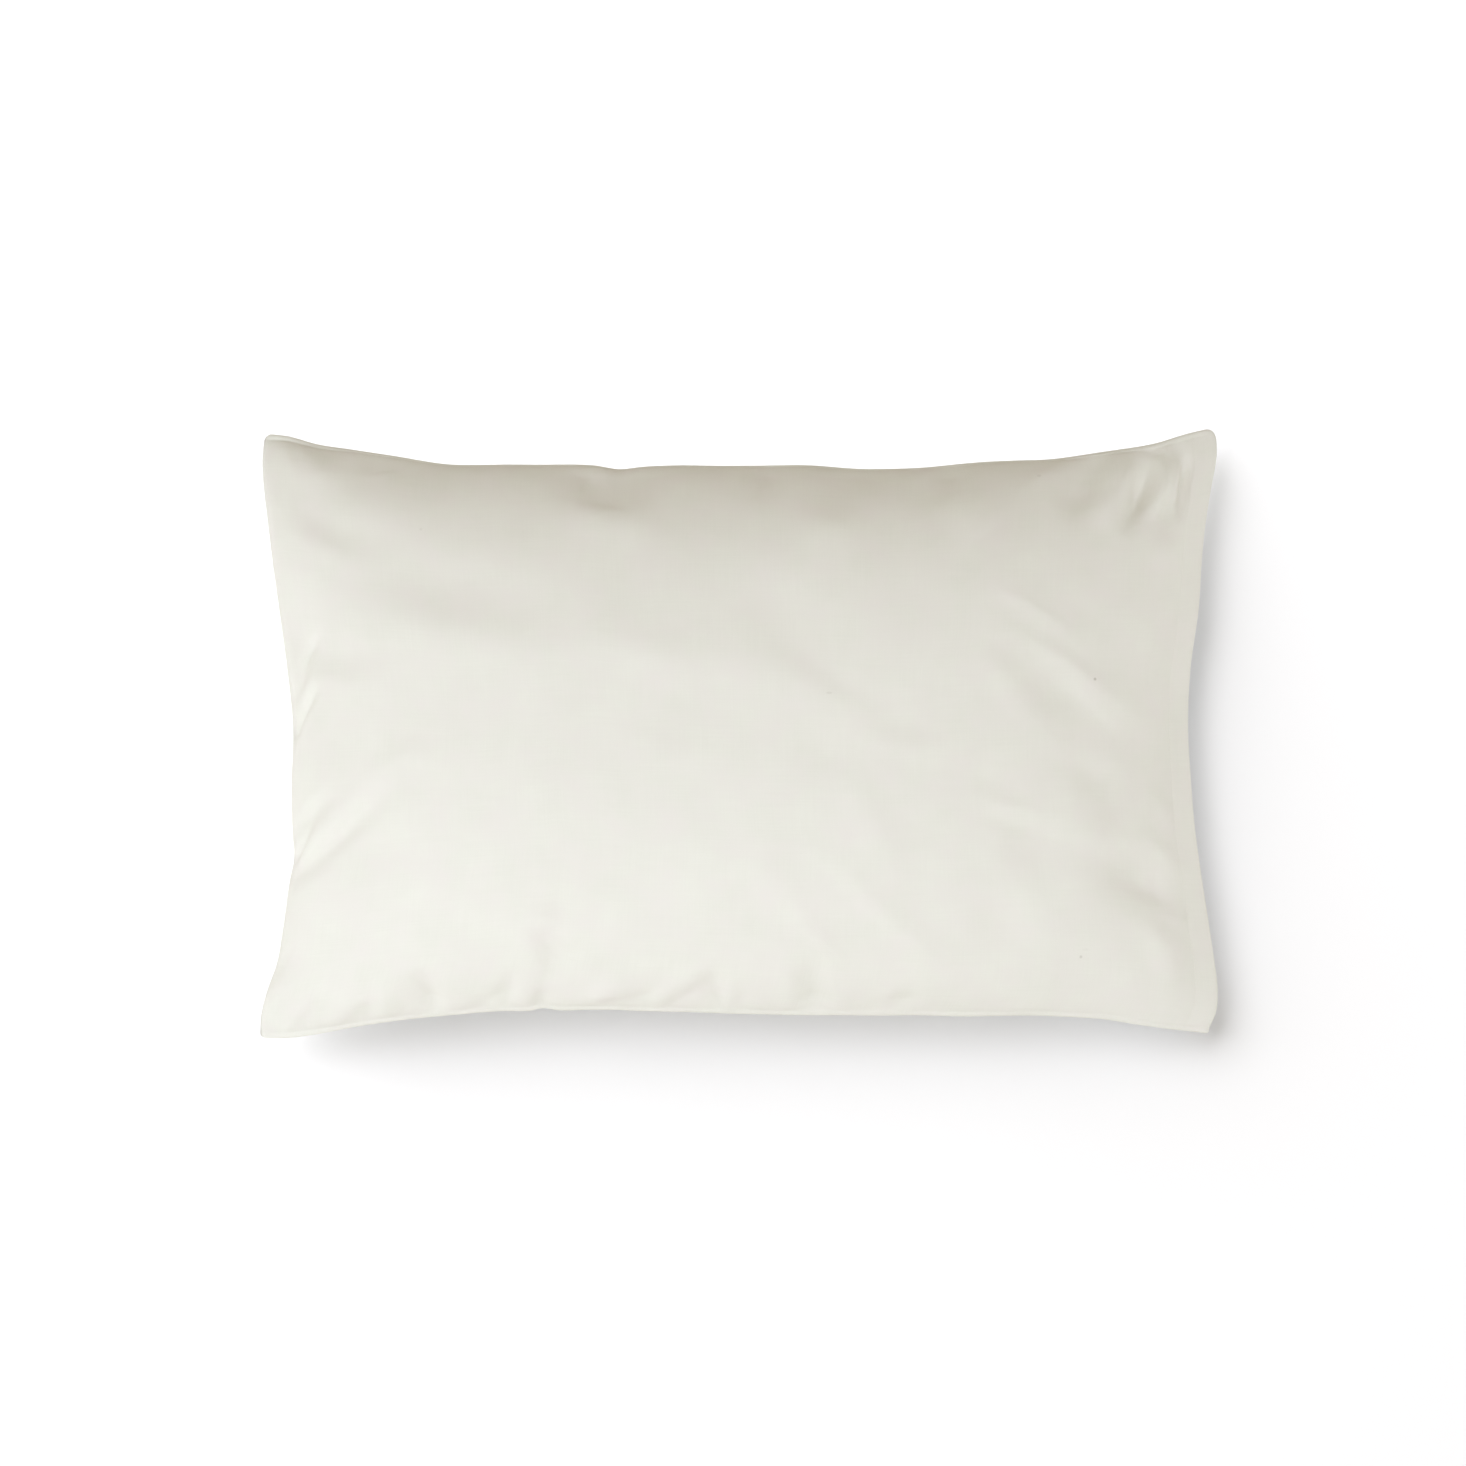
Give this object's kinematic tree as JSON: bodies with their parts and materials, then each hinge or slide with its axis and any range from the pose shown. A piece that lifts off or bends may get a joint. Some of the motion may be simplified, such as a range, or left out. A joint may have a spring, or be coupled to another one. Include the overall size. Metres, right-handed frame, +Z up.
{
  "type": "pillowcase on a filled bed pillow",
  "caption": "Plain cream cotton pillowcase, filled, lying on its back: crowned, drawn in along its sides, with pressed long seams and a flat hem band at the closed mouth.",
  "frame": {"origin": "on the surface that the pillow rests on, under the middle of its outline", "axes": "+X along the pillow from the round fold to the hem band at the mouth, +Y across it, +Z up out of the top face"},
  "size_m": [0.8014, 0.5078, 0.1316],
  "materials": {
    "cotton": "matt plain weave cotton, undyed cream"
  },
  "bodies": {
    "root": {"pillowcase": "cotton"}
  },
  "joints": []
}
